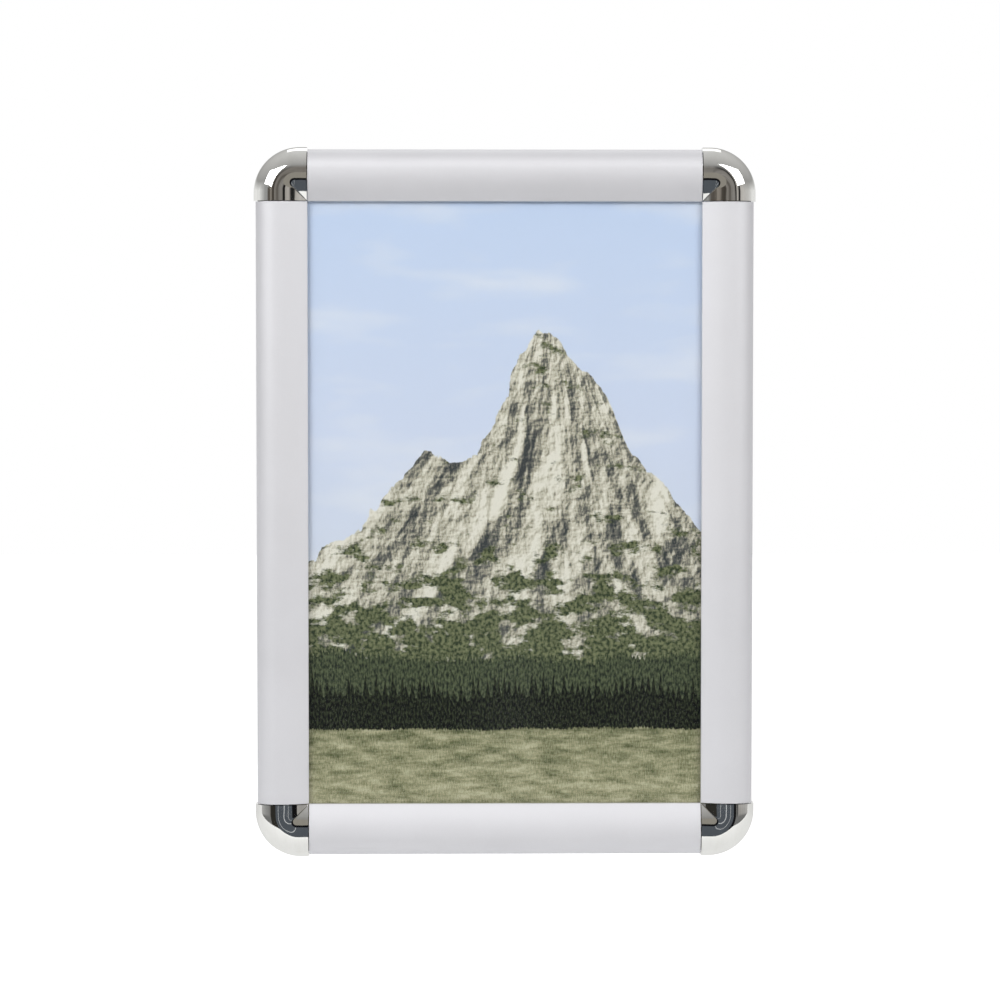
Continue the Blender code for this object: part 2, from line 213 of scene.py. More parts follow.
def start_tree(name, **labels):
    """A Geometry Nodes tree that takes geometry, sizes labelled by kind and a material, and its inputs."""
    tree = bpy.data.node_groups.new(name, "GeometryNodeTree")
    tree.interface.new_socket("Geometry", in_out="OUTPUT", socket_type="NodeSocketGeometry")
    for kind, names in {"Geometry": ["Geometry"], **labels, "Material": ["Material"]}.items():
        for label in names:
            tree.interface.new_socket(label, in_out="INPUT", socket_type="NodeSocket" + kind)
    return tree, add_node(tree, "NodeGroupInput").outputs


def end_tree(tree, given, geometry):
    real = add_node(tree, "GeometryNodeRealizeInstances", {"Geometry": geometry})
    painted = add_node(tree, "GeometryNodeSetMaterial", {"Geometry": real, "Material": given["Material"]})
    add_node(tree, "NodeGroupOutput", {0: painted})
    return tree


def add_extrusion(tree, section, length):
    """Nodes that sweep a section face along X into a closed bar, centred on its length."""
    travel = as_vector(tree, X=length)
    swept = {"Mesh": section, "Offset": travel, "Offset Scale": 1.0, "Individual": False}
    sides = add_node(tree, "GeometryNodeExtrudeMesh", swept, mode="FACES")
    near_end = add_node(tree, "GeometryNodeFlipFaces", {"Mesh": section})
    sealed = {"Geometry": together(sides, near_end), "Distance": SEAL_DISTANCE}
    bar = add_node(tree, "GeometryNodeMergeByDistance", sealed)
    return moved(bar, Translation=scaled(travel, -0.5))


def add_row(tree, count, spacing, height):
    """Nodes for a row of points along X, centred, at a height above it."""
    start = times(times(plus(count, -1.0), spacing), -0.5)
    first = as_vector(tree, X=start, Z=height)
    line = {"Count": count, "Start Location": first, "Offset": as_vector(tree, X=spacing)}
    return add_node(tree, "GeometryNodeMeshLine", line, mode="OFFSET")


def rail_tree():
    """Tree for an extruded rail with a row of round holes through its wall plate."""
    lengths = ["Length", "Hole Spacing", "Hole Radius", "Hole Inset", "Drill Length"]
    tree, given = start_tree("extruded_rail", Int=["Hole Count"], Float=lengths)
    bar = add_extrusion(tree, given["Geometry"], given["Length"])
    places = add_row(tree, given["Hole Count"], given["Hole Spacing"], given["Hole Inset"])
    drill = {"Vertices": WALL_HOLE_SEGMENTS, "Radius": given["Hole Radius"], "Depth": given["Drill Length"]}
    level = moved(add_node(tree, "GeometryNodeMeshCylinder", drill), Rotation=(math.pi / 2, 0, 0))
    cut = {"Mesh 1": bar, "Mesh 2": copied(level, places)}
    drilled = add_node(tree, "GeometryNodeMeshBoolean", cut, operation="DIFFERENCE", solver="EXACT")
    return end_tree(tree, given, drilled)


def put(name, data):
    """An object with its data, linked into the scene."""
    thing = bpy.data.objects.new(name, data)
    bpy.context.scene.collection.objects.link(thing)
    return thing


def baked(thing, *tools):
    """The plain mesh that an object's modifiers make. The object and their tools are then removed."""
    bpy.context.view_layer.update()
    mesh = bpy.data.meshes.new_from_object(thing.evaluated_get(bpy.context.evaluated_depsgraph_get()))
    for helper in (thing, *tools):
        bpy.data.objects.remove(helper)
    return mesh


def grown(tree, start, sizes):
    """The plain mesh that a tree makes from a start mesh with its named sizes set."""
    source = put("source", start)
    build = source.modifiers.new("build", "NODES")
    build.node_group = tree
    for item in tree.interface.items_tree:
        if item.in_out == "INPUT" and item.name in sizes:
            build[item.identifier] = sizes[item.name]
    return baked(source)


def longest(node):
    """The length of a rail or a strip: the longest side of its box."""
    low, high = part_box(node)
    return max(high - low)


def turn_rail(rail, side):
    """Turns a rail to its side. Its points first store their place along it, which the grain follows."""
    places = [number for vertex in rail.vertices for number in vertex.co]
    rail.attributes.new("rail_place", "FLOAT_VECTOR", "POINT").data.foreach_set("vector", places)
    rail.transform(side_places[side])


def show(name, mesh):
    """A finished mesh as a named object of the scene, smooth but for its sharp edges."""
    mesh.shade_smooth()
    mesh.set_sharp_from_angle(angle=math.radians(SHARP_FROM_ANGLE))
    return put(name, mesh)


def start_material(name, metallic, roughness):
    """A Principled material, its tree and its shader."""
    material = bpy.data.materials.new(name)
    material.use_nodes = True
    shader = material.node_tree.nodes["Principled BSDF"]
    shader.inputs["Metallic"].default_value = metallic
    shader.inputs["Roughness"].default_value = roughness
    return material, material.node_tree, shader


def ink(red, green, blue):
    """A colour given as screen values from 0 to 255."""
    def linear(value):
        share = value / 255
        return share / 12.92 if share <= 0.04045 else ((share + 0.055) / 1.055) ** 2.4
    return (linear(red), linear(green), linear(blue), 1.0)


def noise(vector, feature_size, detail=4.0, roughness=0.5):
    """Noise from 0 to 1 whose features are about the given size."""
    inputs = {"Vector": vector, "Scale": 1 / feature_size, "Detail": detail, "Roughness": roughness}
    return add_node(vector.id_data, "ShaderNodeTexNoise", inputs)


def mapped(vector, scale=(1, 1, 1), shift=(0, 0, 0)):
    inputs = {"Vector": vector, "Scale": scale, "Location": shift}
    return add_node(vector.id_data, "ShaderNodeMapping", inputs)


def spread(value, low, high):
    """A value that runs from 0 to 1, brought between two bounds."""
    return add_node(value.id_data, "ShaderNodeMapRange", {"Value": value, "To Min": low, "To Max": high})


def ramp(value, *stops):
    """Colours blended by a value. A stop is a place from 0 to 1 and its colour."""
    node = add_node(value.id_data, "ShaderNodeValToRGB", {0: value})
    while len(node.color_ramp.elements) < len(stops):
        node.color_ramp.elements.new(1.0)
    for element, (place, colour) in zip(node.color_ramp.elements, stops):
        element.position = place
        element.color = colour
    return node


def add_bump(shader, height, depth):
    inputs = {"Height": height, "Distance": depth, "Strength": 1.0}
    wire(shader, {"Normal": add_node(shader.id_data, "ShaderNodeBump", inputs)})


def object_place(tree):
    return add_node(tree, "ShaderNodeTexCoord").outputs["Object"]


def aluminium(name, dark, light, roughness, line_depth, grain_depth):
    """Aluminium with the die's lines along the rail, a fine grain all over and slow shifts of tone."""
    LINE_STRETCH = 0.004
    LINE_WIDTH = 0.00035
    GRAIN_SIZE = 0.00045
    CLOUD_SIZE = 0.035
    material, tree, shader = start_material(name, 1.0, roughness[0])
    place = object_place(tree)
    along = add_node(tree, "ShaderNodeAttribute", attribute_name="rail_place").outputs["Vector"]
    lines = noise(mapped(along, scale=(LINE_STRETCH, 1, 1)), LINE_WIDTH, detail=3)
    grain = noise(place, GRAIN_SIZE, detail=2)
    clouds = noise(place, CLOUD_SIZE, detail=3)
    mixed = plus(times(grain, 0.4), times(clouds, 0.6))
    tone = ramp(mixed, (0.3, dark), (0.7, light))
    wire(shader, {"Base Color": tone, "Roughness": spread(mixed, *roughness)})
    add_bump(shader, plus(times(lines, line_depth), times(grain, grain_depth)), 1.0)
    return material


def base_rail_outline():
    pivot = (pivot_inset, pivot_depth)
    mouth_low, mouth_high = SOCKET_MOUTH_ANGLES
    meets_plate = math.degrees(math.asin((BASE_WALL - pivot_depth) / SOCKET_OUTSIDE))
    inside = arc(pivot, SOCKET_BORE, mouth_low, mouth_high)
    outside = arc(pivot, SOCKET_OUTSIDE, mouth_high, meets_plate)
    low_lip = arc(pivot, SOCKET_OUTSIDE, mouth_low, mouth_high)[0]
    rib = [(GUIDE_RIB[0], BASE_WALL), (GUIDE_RIB[0], GUIDE_RIB_DEPTH),
           (GUIDE_RIB[1], GUIDE_RIB_DEPTH), (GUIDE_RIB[1], BASE_WALL)]
    lip = [(STOP_RIB[0], BASE_WALL), (STOP_RIB[0], SPRING_LIP_DEPTHS[0]),
           (SPRING_LIP_EDGE, SPRING_LIP_DEPTHS[0]), (SPRING_LIP_EDGE, SPRING_LIP_DEPTHS[1]),
           (STOP_RIB[0], SPRING_LIP_DEPTHS[1])]
    ledge = [(STOP_RIB[0], cover_front), (STOP_RIB[1], cover_front), (STOP_RIB[1], LEDGE_DEPTHS[1]),
             (LEDGE_EDGE, LEDGE_DEPTHS[1]), (LEDGE_EDGE, LEDGE_DEPTHS[0]), (STOP_RIB[1], LEDGE_DEPTHS[0])]
    foot = [(STOP_RIB[1], 0), (low_lip[0], 0), low_lip]
    return eased(inside + outside + rib + lip + ledge + foot, BASE_RAIL_EASE)


mill_aluminium = aluminium("mill_aluminium", ink(196, 198, 202), ink(214, 215, 218), (0.28, 0.40),
                           line_depth=0.00002, grain_depth=0.000004)
extruded_rail = rail_tree()
spring_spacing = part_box("leaf_spring_left_2")[0].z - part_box("leaf_spring_left_1")[0].z
for side in side_places:
    rail = grown(extruded_rail, section_face(base_rail_outline()), {
        "Length": longest("base_rail_" + side),
        "Hole Count": 2 if side in ("left", "right") else 0,
        "Hole Spacing": spring_spacing,
        "Hole Radius": WALL_HOLE_RADIUS,
        "Hole Inset": WALL_HOLE_INSET,
        "Drill Length": 3 * BASE_WALL,
        "Material": mill_aluminium,
    })
    turn_rail(rail, side)
    piece = show("back_rail_" + side, rail)
    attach(piece, "base")
    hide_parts("base_rail_" + side)


# Corner joiners: black nylon elbows, injection moulded, whose legs slide into the channels of two
# base rails. Crush ribs across the front of each leg make it a tight fit.
JOINER_EASE = 0.00025
JOINER_EASE_FROM = 50
JOINER_EASE_STEPS = 3
FLAT_WITHIN = 1
RIB_COUNT = 6
RIB_PITCH = 0.0026
RIB_RADIUS = 0.00032
RIB_LENGTH = 0.0036
RIB_SIDES = 12
LEG_MIDDLE_INSET = 0.0099
RIBS_MIDDLE = 0.0345
corner_places = places_round(
    bottom_left=(-half_width, -half_height),
    top_left=(-half_width, half_height),
    top_right=(half_width, half_height),
    bottom_right=(half_width, -half_height),
)


def moulded_plastic(name, dark, light, roughness, grain_size, grain_depth):
    """Plastic with a mould's fine spark grain and faint rubbed patches."""
    RUB_SIZE = 0.012
    material, tree, shader = start_material(name, 0.0, roughness[0])
    place = object_place(tree)
    rubs = noise(mapped(place, scale=(1, 1, 0.35)), RUB_SIZE, detail=6, roughness=0.65)
    tone = ramp(rubs, (0.35, dark), (0.75, light))
    wire(shader, {"Base Color": tone, "Roughness": spread(rubs, *roughness)})
    add_bump(shader, noise(place, grain_size, detail=3), grain_depth)
    return material


def paint(mesh, material):
    mesh.materials.clear()
    mesh.materials.append(material)


def fused(mesh, others, operation="UNION"):
    """The mesh joined with other closed meshes, or cut by them."""
    body = put("body", mesh)
    tools = [put("tool", other) for other in others]
    for tool in tools:
        step = body.modifiers.new("join", "BOOLEAN")
        step.operation = operation
        step.object = tool
    return baked(body, *tools)


def eased_copy(node, place):
    """A CAD node's mesh, merged and flat faces made whole, with a rounding along its sharp edges."""
    shape = bmesh.new()
    shape.from_mesh(frame["nodes"][node].data)
    bmesh.ops.remove_doubles(shape, verts=shape.verts, dist=SEAL_DISTANCE)
    bmesh.ops.transform(shape, matrix=place.inverted(), verts=shape.verts)
    flat = math.radians(FLAT_WITHIN)
    bmesh.ops.dissolve_limit(shape, angle_limit=flat, verts=shape.verts, edges=shape.edges)
    body = put("body", as_mesh(shape, "merged"))
    body.data.materials.clear()
    rounding = body.modifiers.new("rounding", "BEVEL")
    rounding.width = JOINER_EASE
    rounding.segments = JOINER_EASE_STEPS
    rounding.limit_method = "ANGLE"
    rounding.angle_limit = math.radians(JOINER_EASE_FROM)
    return baked(body)


def crush_rib_tree():
    """Tree for a joiner's crush ribs: a row of half-sunk bars along each of its two legs."""
    lengths = ["Rib Pitch", "Rib Radius", "Rib Length", "Leg Inset", "Along Leg", "Leg Front"]
    tree, given = start_tree("crush_ribs", Int=["Rib Count"], Float=lengths)
    row = add_row(tree, given["Rib Count"], given["Rib Pitch"], given["Leg Inset"])
    bar = {"Vertices": RIB_SIDES, "Radius": given["Rib Radius"], "Depth": given["Rib Length"]}
    ribs = copied(add_node(tree, "GeometryNodeMeshCylinder", bar), row)
    on_leg = as_vector(tree, X=given["Along Leg"], Y=times(given["Leg Front"], -1.0))
    one_leg = moved(ribs, Translation=on_leg)
    other_leg = moved(one_leg, Rotation=(0, math.pi / 2, 0), Scale=(-1, 1, 1))
    return end_tree(tree, given, together(one_leg, other_leg))


black_nylon = moulded_plastic("black_nylon", ink(24, 24, 25), ink(40, 40, 41), (0.38, 0.58),
                              grain_size=0.0002, grain_depth=0.000012)
joiner_body = eased_copy("corner_joiner_bottom_left", corner_places["bottom_left"])
joiner_ribs = grown(crush_rib_tree(), bpy.data.meshes.new("no_start"), {
    "Rib Count": RIB_COUNT,
    "Rib Pitch": RIB_PITCH,
    "Rib Radius": RIB_RADIUS,
    "Rib Length": RIB_LENGTH,
    "Leg Inset": LEG_MIDDLE_INSET,
    "Along Leg": RIBS_MIDDLE,
    "Leg Front": -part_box("corner_joiner_bottom_left")[0].y,
    "Material": black_nylon,
})
joiner = fused(joiner_body, [joiner_ribs])
paint(joiner, black_nylon)
for corner, place in corner_places.items():
    mesh = joiner.copy()
    mesh.transform(place)
    piece = show("nylon_joiner_" + corner, mesh)
    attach(piece, "base")
    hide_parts("corner_joiner_" + corner)


# Leaf springs: ten bent strips of hardened spring steel. The foot is pushed under the base rail's
# lip, and the curled tip bears on the front rail's rib to snap it shut.
LEAF_THICKNESS = 0.0004
SPRING_FOOT_END = 0.0134
SPRING_FOOT_DEPTH = 0.0017
SPRING_BEND_RADIUS = 0.0012
SPRING_ARM_INSET = 0.0079
SPRING_CURL_DEPTH = 0.0063
SPRING_CURL_RADIUS = 0.0009
SPRING_TIP_ANGLE = 60


def leaf_spring_outline():
    half = LEAF_THICKNESS / 2
    bend = (SPRING_ARM_INSET + SPRING_BEND_RADIUS, SPRING_FOOT_DEPTH + SPRING_BEND_RADIUS)
    curl = (SPRING_ARM_INSET + SPRING_CURL_RADIUS, SPRING_CURL_DEPTH)
    outer = [(SPRING_FOOT_END, SPRING_FOOT_DEPTH - half)]
    outer += arc(bend, SPRING_BEND_RADIUS + half, 270, 180)
    outer += arc(curl, SPRING_CURL_RADIUS + half, 180, SPRING_TIP_ANGLE)
    inner = arc(curl, SPRING_CURL_RADIUS - half, SPRING_TIP_ANGLE, 180)
    inner += arc(bend, SPRING_BEND_RADIUS - half, 180, 270)
    inner += [(SPRING_FOOT_END, SPRING_FOOT_DEPTH + half)]
    return outer + inner


def spring_row_tree():
    """Tree for one side's leaf springs: a bent strip, repeated along the rail."""
    lengths = ["Spring Length", "Spring Spacing"]
    tree, given = start_tree("leaf_spring_row", Int=["Spring Count"], Float=lengths)
    leaf = add_extrusion(tree, given["Geometry"], given["Spring Length"])
    row = add_row(tree, given["Spring Count"], given["Spring Spacing"], 0.0)
    return end_tree(tree, given, copied(leaf, row))


def spring_steel(name):
    """Hard steel with rolling streaks that run off the wall, and a straw to blue temper tint."""
    STREAK_SIZE = 0.0005
    STREAK_DEPTH = 0.00001
    TINT_SIZE = 0.006
    material, tree, shader = start_material(name, 1.0, 0.3)
    place = object_place(tree)
    streaks = noise(mapped(place, scale=(1, 0.05, 1)), STREAK_SIZE)
    tint = ramp(noise(place, TINT_SIZE, detail=3), (0.3, ink(128, 130, 140)), (0.55, ink(152, 152, 154)),
                (0.75, ink(160, 152, 138)))
    wire(shader, {"Base Color": tint, "Roughness": spread(streaks, 0.2, 0.42)})
    add_bump(shader, streaks, STREAK_DEPTH)
    return material


def joined(meshes):
    """Several meshes as one, with the first one's materials."""
    shape = bmesh.new()
    for mesh in meshes:
        shape.from_mesh(mesh)
    whole = as_mesh(shape, "joined")
    for material in meshes[0].materials:
        whole.materials.append(material)
    return whole


steel = spring_steel("bare_spring_steel")
leaf_spring_row = spring_row_tree()
rows = []
spring_nodes = []
for side in side_places:
    nodes = sorted(name for name in frame["nodes"] if name.startswith("leaf_spring_" + side))
    first, second = (sum(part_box(name), Vector()) / 2 for name in nodes[:2])
    row = grown(leaf_spring_row, section_face(leaf_spring_outline()), {
        "Spring Length": longest(nodes[0]),
        "Spring Count": len(nodes),
        "Spring Spacing": (second - first).length,
        "Material": steel,
    })
    row.transform(side_places[side])
    rows.append(row)
    spring_nodes += nodes
springs = show("snap_springs", joined(rows))
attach(springs, "base")
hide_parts(*spring_nodes)


# Backing panel: an off-white sheet of rigid styrene, sheared to size, that lies on the four ledges
# and keeps the poster flat. It has rolling streaks and the scuffs of handling.
def panel_plastic(name):
    STREAK_WIDTH = 0.003
    SCUFF_SIZE = 0.02
    FINE_GRAIN = 0.0004
    GRAIN_DEPTH = 0.00001
    material, tree, shader = start_material(name, 0.0, 0.5)
    place = object_place(tree)
    streaks = noise(mapped(place, scale=(1, 1, 0.03)), STREAK_WIDTH, detail=5)
    scuffs = noise(mapped(place, scale=(1, 1, 0.3)), SCUFF_SIZE, detail=9, roughness=0.7)
    tone = ramp(plus(times(streaks, 0.35), times(scuffs, 0.65)), (0.3, ink(203, 203, 199)),
                (0.5, ink(216, 216, 212)), (0.7, ink(222, 222, 219)))
    wire(shader, {"Base Color": tone, "Roughness": spread(scuffs, 0.35, 0.7)})
    add_bump(shader, noise(place, FINE_GRAIN), GRAIN_DEPTH)
    return material


paint(frame["nodes"]["backing_panel"].data, panel_plastic("off_white_styrene"))


# Poster: a printed sheet of coated paper behind the clear cover. The print is a made-up view of a
# pale rock ridge over dark woods and a meadow, under a light blue sky, drawn in the inks alone.
def laid_over(under, over, mask):
    """One colour over another where a mask is 1."""
    inputs = {"Factor": mask, 6: under, 7: over}
    return add_node(mask.id_data, "ShaderNodeMix", inputs, data_type="RGBA").outputs[2]


def poster_print(name):
    MILLIMETRES = 1000
    SHEET_MILLIMETRES = (210, 311)
    PAPER_GLOSS = 0.12
    HILL_LEVEL = -42
    MOUNTAIN_FOOT = -80
    MOUNTAIN_HEIGHT = 170
    SUMMIT = (22, 118)
    FAR_WOODS_LEVEL = -76
    NEAR_WOODS_LEVEL = -94
    MEADOW_LEVEL = -111
    material, tree, shader = start_material(name, 0.0, 0.5)
    shader.inputs["Specular IOR Level"].default_value = PAPER_GLOSS
    place = mapped(object_place(tree), scale=(MILLIMETRES, MILLIMETRES, MILLIMETRES))
    across, _, up = add_node(tree, "ShaderNodeSeparateXYZ", {0: place}).outputs
    flat = as_vector(tree, X=across, Y=up)

    def texture(wide, high, detail, seed, shift=0.0, roughness=0.5, plane=flat):
        """Noise over a plane with features of about the given sizes, looked up further along a diagonal."""
        vector = mapped(plane, (1 / wide, 1 / high, 1), (shift / wide + seed, seed - shift / high, 0))
        inputs = {"Vector": vector, "Scale": 1.0, "Detail": detail, "Roughness": roughness}
        return add_node(tree, "ShaderNodeTexNoise", inputs, noise_dimensions="2D")

    def relief(wide, high, detail, seed, step, roughness=0.5):
        """Light and shade of rough ground lit from the upper left, about 0 where it is flat."""
        here = texture(wide, high, detail, seed, 0.0, roughness)
        return maths("SUBTRACT", texture(wide, high, detail, seed, step, roughness), here)

    def folds(wide, high, detail, seed, step, plane):
        """Light and shade of sharp-crested folds lit from the upper left."""
        heights = []
        for shift in (0.0, step):
            swell = texture(wide, high, detail, seed, shift, plane=plane)
            heights.append(maths("ABSOLUTE", plus(swell, -0.5)))
        return maths("SUBTRACT", *heights)

    def below(height, softness):
        """1 below a height and 0 above it, with an edge of the given softness."""
        return maths("ADD", maths("DIVIDE", maths("SUBTRACT", height, up), softness), 0.5, clamp=True)

    def stepped(value, start, steepness):
        """0 up to a start, rising to 1."""
        return maths("MULTIPLY", plus(value, -start), steepness, clamp=True)

    def lower_than(level, reach):
        """0 above a level, rising to 1 at a reach below it."""
        return maths("MULTIPLY", plus(times(up, -1), level), 1 / reach, clamp=True)

    def skyline(level, *swells):
        """The height of a skyline along the sheet. A swell is its height, length, detail and seed."""
        height = level
        for rise, length, detail, seed in swells:
            inputs = {"W": plus(times(across, 1 / length), seed), "Scale": 1.0, "Detail": detail}
            wave = add_node(tree, "ShaderNodeTexNoise", inputs, noise_dimensions="1D")
            height = plus(times(wave, rise), height, -rise / 2)
        return height

    def treetops(pitch, height, seed):
        """Pointed treetops of uneven height, one to a pitch."""
        cell = {"W": plus(times(across, 1 / pitch), seed), "Scale": 1.0, "Randomness": 0.9}
        tops = add_node(tree, "ShaderNodeTexVoronoi", cell, voronoi_dimensions="1D").outputs
        grey = add_node(tree, "ShaderNodeSeparateColor", {0: tops["Color"]})
        spike = maths("SUBTRACT", 0.5, tops["Distance"], clamp=True)
        return times(maths("MULTIPLY", spike, plus(times(grey, 1.2), 0.5)), height)

    sky = ramp(plus(times(up, 1 / SHEET_MILLIMETRES[1]), 0.5), (0.25, ink(222, 228, 238)),
               (0.6, ink(212, 222, 242)), (1.0, ink(200, 217, 243)))
    picture = laid_over(sky, ink(234, 238, 245), stepped(texture(80, 20, 5, 3.1), 0.5, 2.2))

    hill_tone = plus(times(relief(20, 14, 5, 2.0, 1.2), 2.6), 0.5)
    hills = ramp(hill_tone, (0.3, ink(140, 153, 168)), (0.7, ink(182, 191, 201)))
    picture = laid_over(picture, hills, below(skyline(HILL_LEVEL, (50, 70, 1, 7.3), (14, 16, 5, 2.2)), 0.6))

    jag = plus(texture(13, 30, 5, 8.4, roughness=0.58), -0.5)
    jagged_across = plus(times(jag, 4), across)
    sheet_share = plus(times(jagged_across, 1 / SHEET_MILLIMETRES[0]), 0.5)
    profile = add_node(tree, "ShaderNodeFloatCurve", {"Value": sheet_share})
    outline_shares = [(0.09, 0.34), (0.17, 0.40), (0.26, 0.55), (0.33, 0.60), (0.41, 0.59), (0.49, 0.73),
                      (0.545, 0.90), (0.59, 0.96), (0.66, 0.86), (0.72, 0.80), (0.79, 0.62), (0.88, 0.50)]
    curve = profile.mapping.curves[0]
    curve.points[0].location = (0.0, 0.20)
    curve.points[1].location = (1.0, 0.30)
    for point in outline_shares:
        curve.points.new(*point)
    profile.mapping.update()
    crest = plus(times(profile, MOUNTAIN_HEIGHT), MOUNTAIN_FOOT, times(jag, 16))
    spoke = maths("DIVIDE", plus(across, -SUMMIT[0]), plus(times(up, -1), SUMMIT[1]))
    fan = as_vector(tree, X=times(spoke, 100), Y=up)
    ridges = folds(38, 120, 2, 4.6, 4.0, fan)
    gullies = folds(13, 60, 5, 8.0, 1.3, fan)
    faces = relief(8, 11, 6, 1.0, 0.7, roughness=0.62)
    cracks = texture(2.0, 10, 4, 5.5, roughness=0.6)
    strata = texture(70, 2.2, 5, 6.5, roughness=0.62)
    rock_tone = plus(times(ridges, 3.6), times(gullies, 2.3), times(faces, 2.3), times(cracks, 0.28),
                     times(strata, 0.34), 0.25)
    rock = ramp(rock_tone, (0.10, ink(62, 66, 68)), (0.34, ink(112, 112, 104)), (0.5, ink(170, 166, 148)),
                (0.66, ink(206, 202, 184)), (0.88, ink(232, 229, 216)))
    scrub = plus(texture(15, 8, 6, 9.2, roughness=0.62), times(lower_than(-12, 70), 0.3))
    leaves = ramp(texture(1.6, 1.8, 3, 2.2), (0.35, ink(52, 62, 42)), (0.65, ink(122, 128, 92)))
    picture = laid_over(picture, laid_over(rock, leaves, stepped(scrub, 0.6, 12.0)), below(crest, 0.5))

    far_woods = plus(skyline(FAR_WOODS_LEVEL, (18, 60, 3, 2.9)), treetops(1.7, 6, 3.3))
    far_green = ramp(texture(1.0, 2.2, 3, 4.4), (0.32, ink(30, 39, 29)), (0.68, ink(92, 101, 72)))
    picture = laid_over(picture, far_green, below(far_woods, 0.4))
    near_woods = plus(skyline(NEAR_WOODS_LEVEL, (12, 42, 3, 6.1)), treetops(2.6, 15, 8.7))
    near_green = ramp(texture(0.9, 2.0, 4, 7.4), (0.42, ink(4, 6, 4)), (0.72, ink(58, 66, 42)))
    picture = laid_over(picture, near_green, below(near_woods, 0.3))

    grass = plus(times(texture(15, 4, 6, 5.9, roughness=0.66), 0.7), times(lower_than(-112, 35), 0.08),
                 times(texture(0.5, 2.4, 3, 1.9), 0.34), -0.02)
    meadow = ramp(grass, (0.36, ink(92, 97, 66)), (0.52, ink(148, 148, 114)), (0.7, ink(196, 192, 160)))
    verge = plus(skyline(MEADOW_LEVEL, (6, 60, 4, 3.7)), times(texture(0.7, 3, 2, 4.9), 3))
    picture = laid_over(picture, meadow, below(verge, 0.5))

    speckle = spread(texture(0.35, 0.35, 1, 0.7), 0.93, 1.07)
    wire(shader, {"Base Color": scaled(picture, speckle)})
    add_bump(shader, texture(0.25, 0.25, 2, 0.3), 0.000006)
    return material


paint(frame["nodes"]["poster_sheet"].data, poster_print("landscape_print"))


# Clear cover: a thin sheet of anti-glare PVC, cut to the poster's size. Its satin front softens
# reflections, and it has the faint waves of a rolled sheet.
def anti_glare(name):
    """Clear sheet with a satin gloss. A back face takes the inverse index, to mirror as a front does."""
    WAVE_SIZE = 0.05
    WAVE_DEPTH = 0.0001
    SATIN_GRAIN = 0.0005
    SATIN_DEPTH = 0.000002
    GLOSS = 0.14
    CLEAR_TINT = (0.956, 0.96, 0.96, 1)
    REFRACTIVE_INDEX = 1.33
    material, tree, shader = start_material(name, 0.0, GLOSS)
    tree.nodes.remove(shader)
    place = object_place(tree)
    waves = times(noise(place, WAVE_SIZE, detail=0), WAVE_DEPTH)
    gloss = add_node(tree, "ShaderNodeBsdfGlossy", {"Color": (1, 1, 1, 1), "Roughness": GLOSS})
    add_bump(gloss, plus(waves, times(noise(place, SATIN_GRAIN, detail=1), SATIN_DEPTH)), 1.0)
    through = add_node(tree, "ShaderNodeBsdfTransparent", {"Color": CLEAR_TINT})
    backing = add_node(tree, "ShaderNodeNewGeometry").outputs["Backfacing"]
    index = maths("POWER", REFRACTIVE_INDEX, plus(times(backing, -2.0), 1.0))
    mirrored_share = add_node(tree, "ShaderNodeFresnel", {"IOR": index})
    both = add_node(tree, "ShaderNodeMixShader", {0: mirrored_share, 1: through, 2: gloss})
    wire(tree.nodes["Material Output"], {"Surface": both})
    return material


paint(frame["nodes"]["clear_cover_sheet"].data, anti_glare("clear_anti_glare_sheet"))


# Front rails: four arched lengths of extruded aluminium, satin anodised and sawn square. Each turns
# on a bead along its outer edge, and its inner lip holds the cover down.
SKIN_WALL = 0.0010
CREST_INSET = 0.0095
SHOULDER_DEPTH = 0.0050
INNER_EDGE_DEPTH = 0.0085
LIP_WALL = 0.0012
LIP_END_DEPTH = 0.00635
SPRING_RIB = (0.0064, 0.0074)
SPRING_RIB_END = 0.0050
BEAD_RADIUS = 0.0012
NECK_ANGLES = (105, 145)
SKIRT_ANGLE = 140
NECK_ROOT_ANGLE = 113
FRONT_RAIL_EASE = 0.00025
ARCH_STEPS = 36
SLOPE_STEPS = 20


def arch_depth(inset, proud, rise):
    """Depth at an inset of the arched front, moved outwards by proud and forwards by rise."""
    crest = rail_depth + rise
    if inset < CREST_INSET:
        share = min(1, (CREST_INSET - inset) / (CREST_INSET + proud))
        return SHOULDER_DEPTH + (crest - SHOULDER_DEPTH) * math.sqrt(1 - share**2)
    share = (inset - CREST_INSET) / (rail_width - CREST_INSET)
    return crest - (rail_depth - INNER_EDGE_DEPTH) * share**2


def arch(proud, rise, reach):
    """The arched front as points from its outer shoulder over the crest to the inset named reach."""
    insets = []
    for step in range(ARCH_STEPS + 1):
        turn = math.pi / 2 * step / ARCH_STEPS
        insets.append(CREST_INSET - (CREST_INSET + proud) * math.cos(turn))
    for step in range(1, SLOPE_STEPS + 1):
        insets.append(CREST_INSET + (reach - CREST_INSET) * step / SLOPE_STEPS)
    return [(inset, arch_depth(inset, proud, rise)) for inset in insets]


